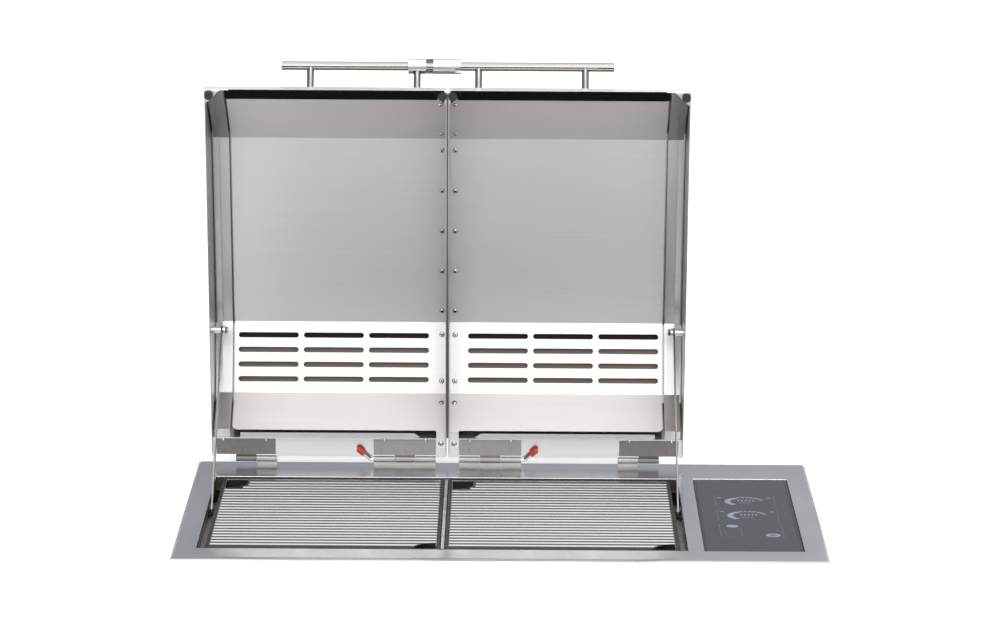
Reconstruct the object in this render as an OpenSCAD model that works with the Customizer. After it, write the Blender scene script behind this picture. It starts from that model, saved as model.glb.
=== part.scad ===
// Built-in electric grill with two cooking zones, two side by side lids and a touch glass.
// Millimetres. X runs to the right, Y to the back, Z up. The origin is under the middle of the
// top plate, on the underside of the chassis. The lids are drawn open, as they rest.

/* [Top plate] */
// Width of the top plate, left to right
flange_w = 775; // [690:1:880]
// Depth of the top plate, front to back
flange_d = 540; // [500:1:600]
// Sheet thickness of the top plate
plate_t = 1.5; // [1:0.1:2]
// Height of the hemmed edge, from the top of the plate
edge_drop = 3; // [2.6:0.1:3.2]
// Plate left of the grill opening
side_margin = 27.5; // [25:0.5:32]
// Plate behind the grill opening and the glass
rear_margin = 92; // [84:1:100]
// Plate in front of the grill opening and the glass
front_margin = 50; // [46:1:60]
// Plate right of the glass
end_margin = 28.5; // [26:0.5:34]

/* [Chassis] */
// Depth of the chassis below the counter
chassis_h = 105; // [98:1:140]
// Distance of the chassis walls from the edge of the top plate
chassis_inset = 15; // [12:0.5:16]
// Sheet thickness of the chassis, the firebox and the control box
chassis_t = 1.2; // [0.8:0.1:1.6]
// Thickness of the gasket on the counter
gasket_t = 2; // [1.8:0.1:4]
// Diameter of the hole for the cable gland
gland_d = 20; // [16:1:24]
// Diameter of the bore through the cable gland
gland_bore = 10; // [6:0.5:12]

/* [Firebox] */
// Depth of the firebox below the top plate
firebox_h = 75; // [68:1:90]
// Width of the firebox rim under the top plate
firebox_rim = 7; // [5:0.5:8]
// Height of the drip pans
drip_h = 18; // [10:1:22]
// Diameter of the heating tube
element_d = 8; // [6:0.5:9]
// Distance between the runs of a heating tube
element_pitch = 62; // [50:1:66]

/* [Grates] */
// Height of a grate
grate_h = 14; // [12:0.5:16]
// Number of ribs on a grate
rib_count = 25; // [18:1:28]
// Width of a rib
rib_w = 9; // [7:0.5:10]
// Width of the rails round a grate
rail_w = 5; // [4:0.5:7]
// Radius of the finger holes in the grates
finger_r = 26; // [20:1:30]
// Straight stretch of the rear finger hole
finger_run = 22; // [10:1:30]
// Wall round a finger hole
finger_wall = 3; // [2:0.5:4]

/* [Control glass] */
// Width of the control glass
glass_w = 117; // [100:1:118]
// Thickness of the control glass
glass_t = 4; // [3:0.5:6]
// Plate between the grill opening and the glass
glass_gap = 20; // [18:0.5:24]
// Depth of the control box below the top plate
box_h = 70; // [60:1:85]

/* [Lids] */
// Angle of the open lids from the closed position
lid_open = 76; // [60:1:80]
// Height of a lid above its rim
lid_h = 125; // [122:1:150]
// Sheet thickness of the lid shells
lid_t = 1.2; // [0.8:0.1:1.6]
// Sheet thickness of the lid liners
liner_t = 0.8; // [0.6:0.1:1.2]
// Clear space between the two lids
split_gap = 2; // [1.5:0.1:4]
// Reach of a lid past the side of the grill opening
lid_side_lap = 9; // [8:0.5:10]
// Reach of a lid past the front of the grill opening
lid_front_lap = 43; // [30:1:46]
// Gap between the closed lid's rim and the top plate
rim_gap = 3; // [2.5:0.1:4]
// Distance from the liner's free edge to the side wall
liner_inset = 26; // [24:0.5:34]
// Width of a vent slot
slot_w = 6.7; // [5:0.1:9]
// Diameter of the rubber bumpers
bumper_d = 11; // [8:0.5:14]

/* [Handles] */
// Diameter of the handle tube
handle_d = 11; // [9:0.5:12]
// Length of each handle tube
handle_len = 205; // [190:1:240]
// Distance from the lid's front slope to the middle of the tube
handle_standoff = 33; // [26:1:40]
// Diameter of the handle posts
post_d = 9; // [7:0.5:9.5]
// Outside diameter of the coupling sleeve
sleeve_d = 19; // [17:0.5:24]
// Length of the coupling sleeve
sleeve_len = 65; // [60:1:72]

/* [Hinges and stays] */
// Distance of the hinge axis from the back edge of the plate
hinge_inset = 25; // [24:0.5:30]
// Height of the hinge axis above the top plate
hinge_rise = 9; // [8.5:0.1:12]
// Outside diameter of the hinge knuckles
knuckle_d = 8; // [7:0.1:8.6]
// Diameter of the hinge pins
pin_d = 4.4; // [3:0.1:5]
// Thickness of the hinge leaves
leaf_t = 1.5; // [1:0.1:1.6]
// Length of a stay, pivot to shoe
stay_len = 287; // [280:1:290]
// Width of a stay
stay_w = 12; // [10:0.5:12.5]
// Thickness of a stay
stay_t = 2; // [1.5:0.1:2.5]

/* [Hidden] */
$fn = 48;

// Clearances
run_clear = 0.05;
slide_clear = 0.3;
seat_clear = 0.8;
cut = 1;

// Heights
counter_z = chassis_h;
plate_z = counter_z + gasket_t;
top_z = plate_z + plate_t;
hinge_z = top_z + hinge_rise;
floor_z = plate_z - firebox_h;

// Plan of the top plate
chassis_x = flange_w / 2 - chassis_inset;
chassis_y = flange_d / 2 - chassis_inset;
glass_x1 = flange_w / 2 - end_margin;
glass_x0 = glass_x1 - glass_w;
glass_y0 = -flange_d / 2 + front_margin;
glass_y1 = flange_d / 2 - rear_margin;
opening_x0 = -flange_w / 2 + side_margin;
opening_x1 = glass_x0 - glass_gap;
opening_y0 = glass_y0;
opening_y1 = glass_y1;
opening_w = opening_x1 - opening_x0;
split_x = (opening_x0 + opening_x1) / 2;
glass_z = top_z - seat_clear - glass_t;
box_lap = 8;
box_floor_z = plate_z - box_h;
seal_t = 2;
seal_w = 6;

// Gland in the right end plate
gland_y = (glass_y0 + glass_y1) / 2;
gland_rise = 32;
gland_z = box_floor_z + gland_rise;
gland_collar = 4;
gland_collar_t = 6;
gland_nut_t = 4;

// Hem of the top plate: how far its slope reaches in, and the upright lip below it
hem_w = 4.5;
hem_lip = 0.8;

// Stay tracks and grates beside them
track_w = 9;
track_t = 1;
track_end_gap = 4;
track_tail = 29;
grate_gap = 8;
grate_side_gap = 0.8;
bridge_w = 4;
bridge_t = 1.5;
grate_drop = 1;
rail_drop = 1;
wall_drop = 0.5;
grate_x0 = bridge_w / 2 + 1;
grate_x1 = opening_w / 2 - track_w - grate_side_gap;
grate_y0 = opening_y0 + grate_gap;
grate_y1 = opening_y1 - grate_gap;
grate_z0 = top_z - grate_drop - grate_h;
ledge_w = 12;
ledge_t = 1.5;

// Heating tubes: runs from front to back, joined by bends
element_runs = 4;
element_clear = 1;
element_inset = 60;
element_z = grate_z0 - ledge_w - element_d / 2 - element_clear;
element_y0 = opening_y0 + element_inset;
element_y1 = opening_y1 - element_inset;
support_h = 10;

// Lid outline, seen from the side: u runs forward from the hinge, w up from the rim
lid_w = opening_w / 2 + lid_side_lap - split_gap / 2;
lid_x0 = split_gap / 2;
lid_x1 = lid_x0 + lid_w;
hinge_y = flange_d / 2 - hinge_inset;
hinge_w = hinge_rise - rim_gap;
lid_len = hinge_y - opening_y0 + lid_front_lap;
lid_inner_h = lid_h - lid_t;
hinge_plate_u0 = knuckle_d / 2 + 1;
hinge_plate_u1 = 28;
hinge_plate_w = hinge_w + 2.6;
rear_wall_u = 46;
rear_wall_w = 80;
ridge_u = 136;
brow_inset = 103;
brow_u = lid_len - brow_inset;
brow_fall = 6.5;
lip_h = 10;
shell_path = [
    [hinge_plate_u0, hinge_plate_w],
    [hinge_plate_u1, hinge_plate_w],
    [rear_wall_u, rear_wall_w],
    [ridge_u, lid_inner_h],
    [brow_u, lid_inner_h - brow_fall],
    [lid_len - lid_t, lip_h],
    [lid_len - lid_t, 0]
];

// Liner outline: a tongue on the hinge plate, then four bent panels
liner_depth = 13;
liner_foot_u = 39;
liner_foot_rise = 1.4;
liner_rear_u = 62;
liner_rear_drop = 9;
liner_ridge_u = 144;
liner_brow_inset = 4;
liner_front_inset = 20;
liner_front_w = 22;
liner_corner_r = 7;
tongue_u = 15;
tongue_w = 12;
tongue_corner_r = 5;
liner_path = [
    [liner_foot_u, hinge_plate_w + liner_foot_rise],
    [liner_rear_u, rear_wall_w - liner_rear_drop],
    [liner_ridge_u, lid_inner_h - liner_depth + liner_t],
    [brow_u - liner_brow_inset, lid_inner_h - brow_fall - liner_depth + liner_t],
    [lid_len - liner_front_inset, liner_front_w]
];
liner_x1 = lid_x1 - liner_inset;

// Side rail: a strip beside the liner, from the rear wall over the same bends to the front lip
side_rail_gap = 2.5;
side_rail_w = 13;
side_rail_x0 = liner_x1 + side_rail_gap;
function rear_wall_at(w) =
    hinge_plate_u1 + (w - hinge_plate_w) * (rear_wall_u - hinge_plate_u1) / (rear_wall_w - hinge_plate_w);
front_panel = step(liner_path, len(liner_path) - 2);
front_edge = liner_path[len(liner_path) - 1];
side_rail_end = front_edge + front_panel * (lid_len - 0.75 * lid_t - front_edge[0]) / front_panel[0];
side_rail_path = concat(
    [[rear_wall_at(liner_path[0][1]) - lid_t / 2, liner_path[0][1]]],
    [for (i = [0 : len(liner_path) - 2]) liner_path[i]],
    [side_rail_end]
);

// Heel: a short ledge on the rear wall, below the liner, mitred beside the tongue
heel_rise = 3;
heel_reach = 5;
heel_x0 = 34;
heel_mitre = 8;
heel_inset = 10;
heel_w = hinge_plate_w + heel_rise;

// Liner screws, from the split and from the ends of each panel
screw_panels = [1, 2, 5, 2];
screw_inset = 16;
screw_x = 7.5;
screw_d = 6;
screw_h = 1.2;
shank_d = 3;

// Vent slots on the second panel of the liner
slot_panel = 1;
slot_cols = 3;
slot_rows = 4;
slot_x0 = 25;
slot_edge = 5;
slot_gap_x = 6.5;
slot_pitch_v = 18.8;
slot_len = (liner_x1 - slot_edge - slot_x0 + slot_gap_x) / slot_cols - slot_gap_x;

// Handle on the front slope of the lid
front_a = shell_path[4];
front_b = shell_path[5];
front_fall = front_b - front_a;
front_angle = atan2(-front_fall[1], front_fall[0]);
handle_foot = 12;
post_x0 = 38;
post_x1 = 170;
sleeve_x1 = 16;
sleeve_x0 = sleeve_x1 - sleeve_len;
sleeve_travel = 15;

// Hinges: places from the split between the lids
outer_leaf_w = 75;
outer_leaf_inset = 6;
outer_leaf_x1 = lid_x1 - outer_leaf_inset;
outer_leaf_x0 = outer_leaf_x1 - outer_leaf_w;
outer_base_x0 = outer_leaf_x0 - 2;
knuckle_len = 26;
knuckle_gap = 0.5;
inner_leaf_x0 = 15;
inner_leaf_x1 = inner_leaf_x0 + 3 * knuckle_len + 2 * knuckle_gap;
apron_u = 1.8;
apron_gap = 1;
apron_spans = [
    [lid_x0, inner_leaf_x0 - apron_gap],
    [inner_leaf_x1 + apron_gap, outer_base_x0 - apron_gap],
    [outer_leaf_x1 + apron_gap, lid_x1]
];
leaf_u1 = hinge_plate_u1 - 2;
foot_len = 14;
tail_len = 15;
tail_dip = 2.5;
cap_d = 7.6;
cap_len = 11;

// Stays: the shoe runs in the track, below the top plate
stay_x = opening_w / 2 - track_w / 2 - stay_t / 2;
stay_u = 164;
stay_pivot_w = 40;
shoe_drop = 6;
shoe_z = top_z - shoe_drop;
shoe_d = 11;
shoe_pin_d = 4;
bolt_d = 5;
bolt_head_d = 10;
bolt_head_t = 2.4;
pivot_y = hinge_y - stay_u * cos(lid_open) + (stay_pivot_w - hinge_w) * sin(lid_open);
pivot_z = hinge_z + stay_u * sin(lid_open) + (stay_pivot_w - hinge_w) * cos(lid_open);
stay_drop = pivot_z - shoe_z;
stay_run = sqrt(stay_len * stay_len - stay_drop * stay_drop);
stay_tilt = atan2(stay_drop, stay_run);
shoe_y = pivot_y - stay_run;

// Outline of a bent sheet: a path and its copy one thickness to the left
function unit(v) = v / norm(v);
function left_of(v) = [-v[1], v[0]];
function step(path, i) = unit(path[i + 1] - path[i]);
function side_at(path, i) =
    i == 0 ? left_of(step(path, 0)) :
    i == len(path) - 1 ? left_of(step(path, i - 1)) :
    let (a = left_of(step(path, i - 1)), b = left_of(step(path, i))) (a + b) / (1 + a * b);
function shifted(path, t) = [for (i = [0 : len(path) - 1]) path[i] + t * side_at(path, i)];
function reversed(path) = [for (i = [len(path) - 1 : -1 : 0]) path[i]];
function sheet(path, t) = concat(path, reversed(shifted(path, t)));

// Height of a path at a place u
function height_at(path, u) =
    [for (i = [0 : len(path) - 2])
        if (path[i][0] < u && u <= path[i + 1][0])
            path[i][1] + (path[i + 1][1] - path[i][1]) * (u - path[i][0])
                / (path[i + 1][0] - path[i][0])][0];

// A box between two corners
module block(a, b) {
    translate(a)
        cube(b - a);
}

// A side view drawn in u and w, stretched from x0 to x1
module across(x0, x1) {
    translate([x1, 0, 0])
        rotate([90, 0, -90])
            linear_extrude(x1 - x0)
                children();
}

// A round bar along X in the side view
module bar(x0, x1, u, w, d) {
    translate([x0, -u, w])
        rotate([0, 90, 0])
            cylinder(d = d, h = x1 - x0);
}

// The open lid's own frame; side is 1 for the right lid and -1 for the left one
module on_lid(side) {
    translate([split_x, hinge_y, hinge_z])
        rotate([-lid_open, 0, 0])
            translate([0, 0, -hinge_w])
                mirror([side < 0 ? 1 : 0, 0, 0])
                    children();
}

// The base's frame round the split between the lids
module on_base(side) {
    translate([split_x, 0, 0])
        mirror([side < 0 ? 1 : 0, 0, 0])
            children();
}

// Chassis: one sheet bent into front, bottom and back, and two end plates
module chassis_wrap() {
    color("silver")
        difference() {
            block([-chassis_x + chassis_t, -chassis_y, 0], [chassis_x - chassis_t, chassis_y, plate_z]);
            block(
                [-chassis_x, -chassis_y + chassis_t, chassis_t],
                [chassis_x, chassis_y - chassis_t, plate_z + cut]
            );
        }
}

module chassis_end_left() {
    color("silver")
        block([-chassis_x, -chassis_y, 0], [-chassis_x + chassis_t, chassis_y, plate_z]);
}

module chassis_end_right() {
    color("silver")
        difference() {
            block([chassis_x - chassis_t, -chassis_y, 0], [chassis_x, chassis_y, plate_z]);
            bar(chassis_x - 2 * chassis_t, chassis_x + cut, -gland_y, gland_z, gland_d + 2 * run_clear);
        }
}

module counter_gasket() {
    gasket_x = flange_w / 2 - hem_w - seat_clear;
    gasket_y = flange_d / 2 - hem_w - seat_clear;
    color("dimgray")
        difference() {
            block([-gasket_x, -gasket_y, counter_z], [gasket_x, gasket_y, plate_z]);
            block([-chassis_x, -chassis_y, counter_z - cut], [chassis_x, chassis_y, plate_z + cut]);
        }
}

// What the slope of a hemmed edge leaves out; the upper edge runs along y through the origin
module hem_cut(length) {
    fall = edge_drop - hem_lip;
    rotate([90, 0, 0])
        linear_extrude(length + 2 * cut, center = true)
            polygon([[-hem_w, 0], [hem_w, -2 * fall], [hem_w, fall], [-hem_w, fall]]);
}

// Top plate with hemmed, sloping edges, the grill opening and the window for the glass
module top_plate() {
    fold_x = flange_w / 2 - hem_w;
    fold_y = flange_d / 2 - hem_w;
    color("lightgray")
        difference() {
            block([-flange_w / 2, -flange_d / 2, top_z - edge_drop], [flange_w / 2, flange_d / 2, top_z]);
            block([-fold_x, -fold_y, top_z - edge_drop - cut], [fold_x, fold_y, plate_z]);
            block([opening_x0, opening_y0, plate_z - cut], [opening_x1, opening_y1, top_z + cut]);
            block(
                [glass_x0 - seat_clear, glass_y0 - seat_clear, plate_z - cut],
                [glass_x1 + seat_clear, glass_y1 + seat_clear, top_z + cut]
            );
            for (turn = [0, 180]) {
                rotate([0, 0, turn])
                    translate([flange_w / 2, 0, top_z])
                        hem_cut(flange_d);
                rotate([0, 0, turn + 90])
                    translate([flange_d / 2, 0, top_z])
                        hem_cut(flange_w);
            }
        }
}

// Firebox: a welded tub hung from the opening by its rim
module firebox_pan() {
    wall = chassis_t;
    rim = wall + firebox_rim;
    color("gray")
        difference() {
            union() {
                block(
                    [opening_x0 - wall, opening_y0 - wall, floor_z],
                    [opening_x1 + wall, opening_y1 + wall, plate_z]
                );
                block(
                    [opening_x0 - rim, opening_y0 - rim, plate_z - wall],
                    [opening_x1 + rim, opening_y1 + rim, plate_z]
                );
            }
            block([opening_x0, opening_y0, floor_z + wall], [opening_x1, opening_y1, plate_z + cut]);
            for (side = [-1, 1])
                element_tails(side, element_d + 2 * run_clear);
        }
}

// Heat shield between the firebox and the control box, hung from the firebox rim
module heat_shield() {
    shield_x = opening_x1 + chassis_t + firebox_rim / 2;
    color("silver")
        block(
            [shield_x, opening_y0, floor_z],
            [shield_x + chassis_t, opening_y1, plate_z - chassis_t]
        );
}

// Ledges under the front and back ends of the grates
module grate_ledges() {
    color("gray")
        for (back = [0, 1])
            translate([0, back ? opening_y1 : opening_y0, grate_z0 - ledge_t])
                mirror([0, back, 0])
                    translate([opening_x0, 0, 0])
                        rotate([90, 0, 90])
                            linear_extrude(opening_w)
                                difference() {
                                    translate([0, ledge_t - ledge_w])
                                        square(ledge_w);
                                    translate([ledge_t, -ledge_w])
                                        square(ledge_w);
                                }
}

// Bridge between the grates, standing on the ledges
module centre_bridge() {
    color("silver")
        difference() {
            block(
                [split_x - bridge_w / 2, grate_y0, grate_z0],
                [split_x + bridge_w / 2, grate_y1, top_z - grate_drop]
            );
            block(
                [split_x - bridge_w / 2 + bridge_t, grate_y0 - cut, grate_z0 - cut],
                [split_x + bridge_w / 2 - bridge_t, grate_y1 + cut, top_z - grate_drop - bridge_t]
            );
        }
}

// Open channel on the firebox wall in which the shoe of a stay runs
module stay_track(side) {
    track_floor = shoe_z - stay_w / 2 - slide_clear;
    track_x1 = opening_w / 2;
    track_y0 = opening_y0 + track_end_gap;
    track_y1 = shoe_y + track_tail;
    color("lightgray")
        on_base(side)
            difference() {
                block(
                    [track_x1 - track_w, track_y0, track_floor - track_t],
                    [track_x1, track_y1, shoe_z + track_t]
                );
                block(
                    [track_x1 - track_w + track_t, track_y0 + track_t, track_floor],
                    [track_x1 - track_t, track_y1 - track_t, plate_z]
                );
            }
}

module stay_track_left() { stay_track(-1); }
module stay_track_right() { stay_track(1); }

// Heating tube of one zone: straight runs and half-round bends, its tails through the back wall
function run_x(i) = split_zone_x + (i - (element_runs - 1) / 2) * element_pitch;
split_zone_x = (grate_x0 + grate_x1) / 2;

module element_tails(side, d) {
    tail_out = 14;
    tail_end = opening_y1 + chassis_t + tail_out;
    on_base(side)
        for (i = [0, element_runs - 1])
            translate([run_x(i), element_y1 - element_pitch / 2, element_z])
                rotate([-90, 0, 0])
                    cylinder(d = d, h = tail_end - element_y1 + element_pitch / 2);
}

module element(side) {
    bend_r = element_pitch / 2;
    color("dimgray")
        union() {
            element_tails(side, element_d);
            on_base(side)
                translate([0, 0, element_z]) {
                    for (i = [0 : element_runs - 1])
                        translate([run_x(i), element_y0 + bend_r, 0])
                            rotate([-90, 0, 0])
                                cylinder(d = element_d, h = element_y1 - element_y0 - 2 * bend_r);
                    for (i = [0 : element_runs - 2])
                        translate([
                            run_x(i) + bend_r,
                            i % 2 == 0 ? element_y0 + bend_r : element_y1 - bend_r,
                            0
                        ])
                            rotate([0, 0, i % 2 == 0 ? 180 : 0])
                                rotate_extrude(angle = 180)
                                    translate([bend_r, 0])
                                        circle(d = element_d);
                }
        }
}

module element_left() { element(-1); }
module element_right() { element(1); }

// Two bars across the firebox under the heating tubes
module element_supports() {
    bar_z = element_z - element_d / 2;
    color("silver")
        for (y = [element_y0 + element_pitch, element_y1 - element_pitch])
            block(
                [opening_x0, y - ledge_t / 2, bar_z - support_h],
                [opening_x1, y + ledge_t / 2, bar_z]
            );
}

// Drip pan of one zone, on the firebox floor
module drip_pan(side) {
    pan_z = floor_z + chassis_t;
    pan_flare = 6;
    color("lightgray")
        on_base(side)
            difference() {
                block(
                    [grate_x0 + pan_flare, grate_y0 + pan_flare, pan_z],
                    [grate_x1 - pan_flare, grate_y1 - pan_flare, pan_z + drip_h]
                );
                block(
                    [grate_x0 + pan_flare + 1, grate_y0 + pan_flare + 1, pan_z + 1],
                    [grate_x1 - pan_flare - 1, grate_y1 - pan_flare - 1, pan_z + drip_h + cut]
                );
            }
}

module drip_pan_left() { drip_pan(-1); }
module drip_pan_right() { drip_pan(1); }

// Probes that stand on the back support bar, between two runs of a heating tube
module temperature_probes() {
    probe_d = 6;
    probe_len = 40;
    bar_z = element_z - element_d / 2;
    color("silver")
        for (side = [-1, 1])
            on_base(side)
                translate([run_x(1) + element_pitch / 2, element_y1 - element_pitch, bar_z + probe_d / 2])
                    rotate([90, 0, 0])
                        cylinder(d = probe_d, h = probe_len, center = true);
}

// Box under the glass, with a ledge for the seal and a hole for the gland
module control_box() {
    wall = chassis_t;
    x0 = glass_x0 - box_lap;
    x1 = glass_x1 + box_lap;
    y0 = glass_y0 - box_lap;
    y1 = glass_y1 + box_lap;
    ledge_z = glass_z - seal_t;
    color("silver")
        difference() {
            block([x0, y0, box_floor_z], [x1, y1, plate_z]);
            block([x0 + wall, y0 + wall, ledge_z], [x1 - wall, y1 - wall, plate_z + cut]);
            block([x0 + wall, y0 + wall, box_floor_z + wall], [x1 - wall, y1 - wall, ledge_z - wall]);
            block(
                [glass_x0 + seal_w, glass_y0 + seal_w, box_floor_z + wall],
                [glass_x1 - seal_w, glass_y1 - seal_w, plate_z]
            );
            bar(x1 - 2 * wall, x1 + cut, -gland_y, gland_z, gland_d + 2 * run_clear);
        }
}

module glass_seal() {
    color("black")
        difference() {
            block([glass_x0, glass_y0, glass_z - seal_t], [glass_x1, glass_y1, glass_z]);
            block(
                [glass_x0 + seal_w, glass_y0 + seal_w, glass_z - seal_t - cut],
                [glass_x1 - seal_w, glass_y1 - seal_w, glass_z + cut]
            );
        }
}

module control_glass() {
    color([0.25, 0.26, 0.29])
        block([glass_x0, glass_y0, glass_z], [glass_x1, glass_y1, glass_z + glass_t]);
}

// Touch board bonded to the underside of the glass
module touch_board() {
    board_t = 1.6;
    inset = seal_w + 4;
    color("darkgreen")
        block(
            [glass_x0 + inset, glass_y0 + inset, glass_z - board_t],
            [glass_x1 - inset, glass_y1 - inset, glass_z]
        );
}

// Power board on four legs, with a relay for each zone
module relay_board() {
    board_w = 70;
    board_d = 120;
    board_t = 1.6;
    leg_d = 6;
    leg_h = 8;
    relay = [20, 26, 18];
    board_x = (glass_x0 + glass_x1 - board_w) / 2;
    board_y = glass_y1 - box_lap - board_d;
    board_z = box_floor_z + chassis_t + leg_h;
    color("darkgreen")
        translate([board_x, board_y, board_z]) {
            cube([board_w, board_d, board_t]);
            for (x = [leg_d, board_w - leg_d], y = [leg_d, board_d - leg_d])
                translate([x, y, -leg_h])
                    cylinder(d = leg_d, h = leg_h + board_t / 2);
            for (i = [0, 1])
                translate([
                    (board_w - relay[0]) / 2,
                    (board_d + relay[1]) / 2 + (i - 1) * 2 * relay[1],
                    0
                ])
                    cube(relay + [0, 0, board_t]);
        }
}

// Terminal block for the mains leads
module terminal_block() {
    poles = 3;
    pole_w = 14;
    block_d = 22;
    block_h = 16;
    screw_r = 3;
    gland_offset = 60;
    block_x = (glass_x0 + glass_x1 - poles * pole_w) / 2;
    color("ivory")
        translate([block_x, gland_y - block_d / 2 - gland_offset, box_floor_z + chassis_t])
            difference() {
                cube([poles * pole_w, block_d, block_h]);
                for (i = [0 : poles - 1])
                    translate([(i + 0.5) * pole_w, block_d / 2, block_h / 2])
                        cylinder(r = screw_r, h = block_h);
            }
}

// Cable gland through the end plate and the control box
module cable_gland() {
    box_wall_x = glass_x1 + box_lap - chassis_t;
    color("black")
        difference() {
            union() {
                bar(chassis_x, chassis_x + gland_collar_t, -gland_y, gland_z, gland_d + 2 * gland_collar);
                bar(box_wall_x - gland_nut_t, chassis_x + cut, -gland_y, gland_z, gland_d);
                bar(box_wall_x - gland_nut_t, box_wall_x, -gland_y, gland_z, gland_d + 2 * gland_collar);
            }
            bar(box_wall_x - 2 * gland_nut_t, chassis_x + 2 * gland_collar_t, -gland_y, gland_z, gland_bore);
        }
}

// Base leaf of a hinge: knuckles on an upright web with a foot on the plate
module hinge_base(side, x0, x1, knuckles) {
    r = knuckle_d / 2;
    color("silver")
        on_base(side)
            difference() {
                union() {
                    for (k = knuckles) {
                        bar(k[0], k[1], -hinge_y, hinge_z, knuckle_d);
                        block(
                            [k[0], hinge_y + r - leaf_t, top_z],
                            [k[1], hinge_y + r, hinge_z]
                        );
                    }
                    block(
                        [x0, hinge_y + r - leaf_t, top_z],
                        [x1, hinge_y + r, hinge_z - r - seat_clear]
                    );
                    block(
                        [x0, hinge_y + r - leaf_t, top_z],
                        [x1, hinge_y + r - leaf_t + foot_len, top_z + leaf_t]
                    );
                }
                bar(x0 - cut, x1 + cut, -hinge_y, hinge_z, pin_d + 2 * run_clear);
            }
}

outer_base_x1 = outer_base_x0 + knuckle_len;
outer_lid_x0 = outer_base_x1 + knuckle_gap;
outer_lid_x1 = outer_lid_x0 + knuckle_len;
inner_lid_x0 = inner_leaf_x0 + knuckle_len + knuckle_gap;
inner_lid_x1 = inner_lid_x0 + knuckle_len;
inner_bases = [
    [inner_leaf_x0, inner_leaf_x0 + knuckle_len],
    [inner_leaf_x1 - knuckle_len, inner_leaf_x1]
];
outer_bases = [[outer_base_x0, outer_base_x1]];

module hinge_base_outer_left() { hinge_base(-1, outer_base_x0, outer_base_x1, outer_bases); }
module hinge_base_outer_right() { hinge_base(1, outer_base_x0, outer_base_x1, outer_bases); }
module hinge_base_inner_left() { hinge_base(-1, inner_leaf_x0, inner_leaf_x1, inner_bases); }
module hinge_base_inner_right() { hinge_base(1, inner_leaf_x0, inner_leaf_x1, inner_bases); }

// Fixed pin of an outer hinge
module hinge_pin_outer(side) {
    color("lightgray")
        on_base(side)
            bar(outer_base_x0, outer_lid_x1, -hinge_y, hinge_z, pin_d);
}

module hinge_pin_outer_left() { hinge_pin_outer(-1); }
module hinge_pin_outer_right() { hinge_pin_outer(1); }

// Side wall of a lid, from the shell down to the rim
module lid_wall(x0) {
    wall = concat(
        shifted(shell_path, lid_t),
        [[hinge_plate_u0 + 3, 0], [hinge_plate_u0 + 3, hinge_plate_w]]
    );
    across(x0, x0 + lid_t)
        polygon(wall);
}

// Gusset in a front corner of the lid, which carries a bumper
module corner_gusset(x, way) {
    gusset = 20;
    translate([x, -lid_len + lid_t / 2, 0])
        linear_extrude(lid_t)
            polygon([[0, 0], [way * gusset, 0], [0, gusset]]);
}

// Places of the liner screws: along each panel, and one on the tongue
module at_screws() {
    for (i = [0 : len(screw_panels) - 1]) {
        a = liner_path[i];
        dir = step(liner_path, i);
        length = norm(liner_path[i + 1] - a);
        count = screw_panels[i];
        for (k = [0 : count - 1]) {
            s = count == 1 ? length - screw_inset :
                screw_inset + k * (length - 2 * screw_inset) / (count - 1);
            p = a + s * dir;
            translate([lid_x0 + screw_x, -p[0], p[1]])
                rotate([-atan2(dir[1], dir[0]), 0, 0])
                    children();
        }
    }
    translate([lid_x0 + screw_x, -(tongue_u + tongue_w / 2), hinge_plate_w - liner_t])
        children();
}

// Heel of the rear wall, a flat strip with one mitred end
module rear_heel() {
    root = rear_wall_at(heel_w) - lid_t / 2;
    tip = rear_wall_at(heel_w) + heel_reach;
    translate([0, 0, heel_w])
        linear_extrude(lid_t)
            polygon([
                [heel_x0, -root],
                [heel_x0 + heel_mitre, -tip],
                [liner_x1 - heel_inset, -tip],
                [liner_x1 - heel_inset, -root]
            ]);
}

// Apron: the hinge plate reaches further down beside the hinges
module hinge_apron() {
    for (span = apron_spans)
        across(span[0], span[1])
            polygon(sheet([[apron_u, hinge_plate_w], [hinge_plate_u0 + lid_t, hinge_plate_w]], lid_t));
}

// Lid shell: one bent sheet with two side walls, corner gussets, a side rail and a flange for the liner
module lid_shell(side) {
    flange_path = shifted(liner_path, liner_t);
    color("silver")
        on_lid(side)
            difference() {
                union() {
                    across(lid_x0, lid_x1)
                        polygon(sheet(shell_path, lid_t));
                    lid_wall(lid_x0);
                    lid_wall(lid_x1 - lid_t);
                    corner_gusset(lid_x0, 1);
                    corner_gusset(lid_x1, -1);
                    across(lid_x0, lid_x0 + 2 * screw_x)
                        polygon(sheet(flange_path, lid_t));
                    across(side_rail_x0, side_rail_x0 + side_rail_w)
                        polygon(sheet(side_rail_path, lid_t));
                    rear_heel();
                    hinge_apron();
                }
                at_screws()
                    cylinder(d = shank_d + 2 * run_clear, h = 4 * lid_t, center = true);
            }
}

module lid_shell_left() { lid_shell(-1); }
module lid_shell_right() { lid_shell(1); }

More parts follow.
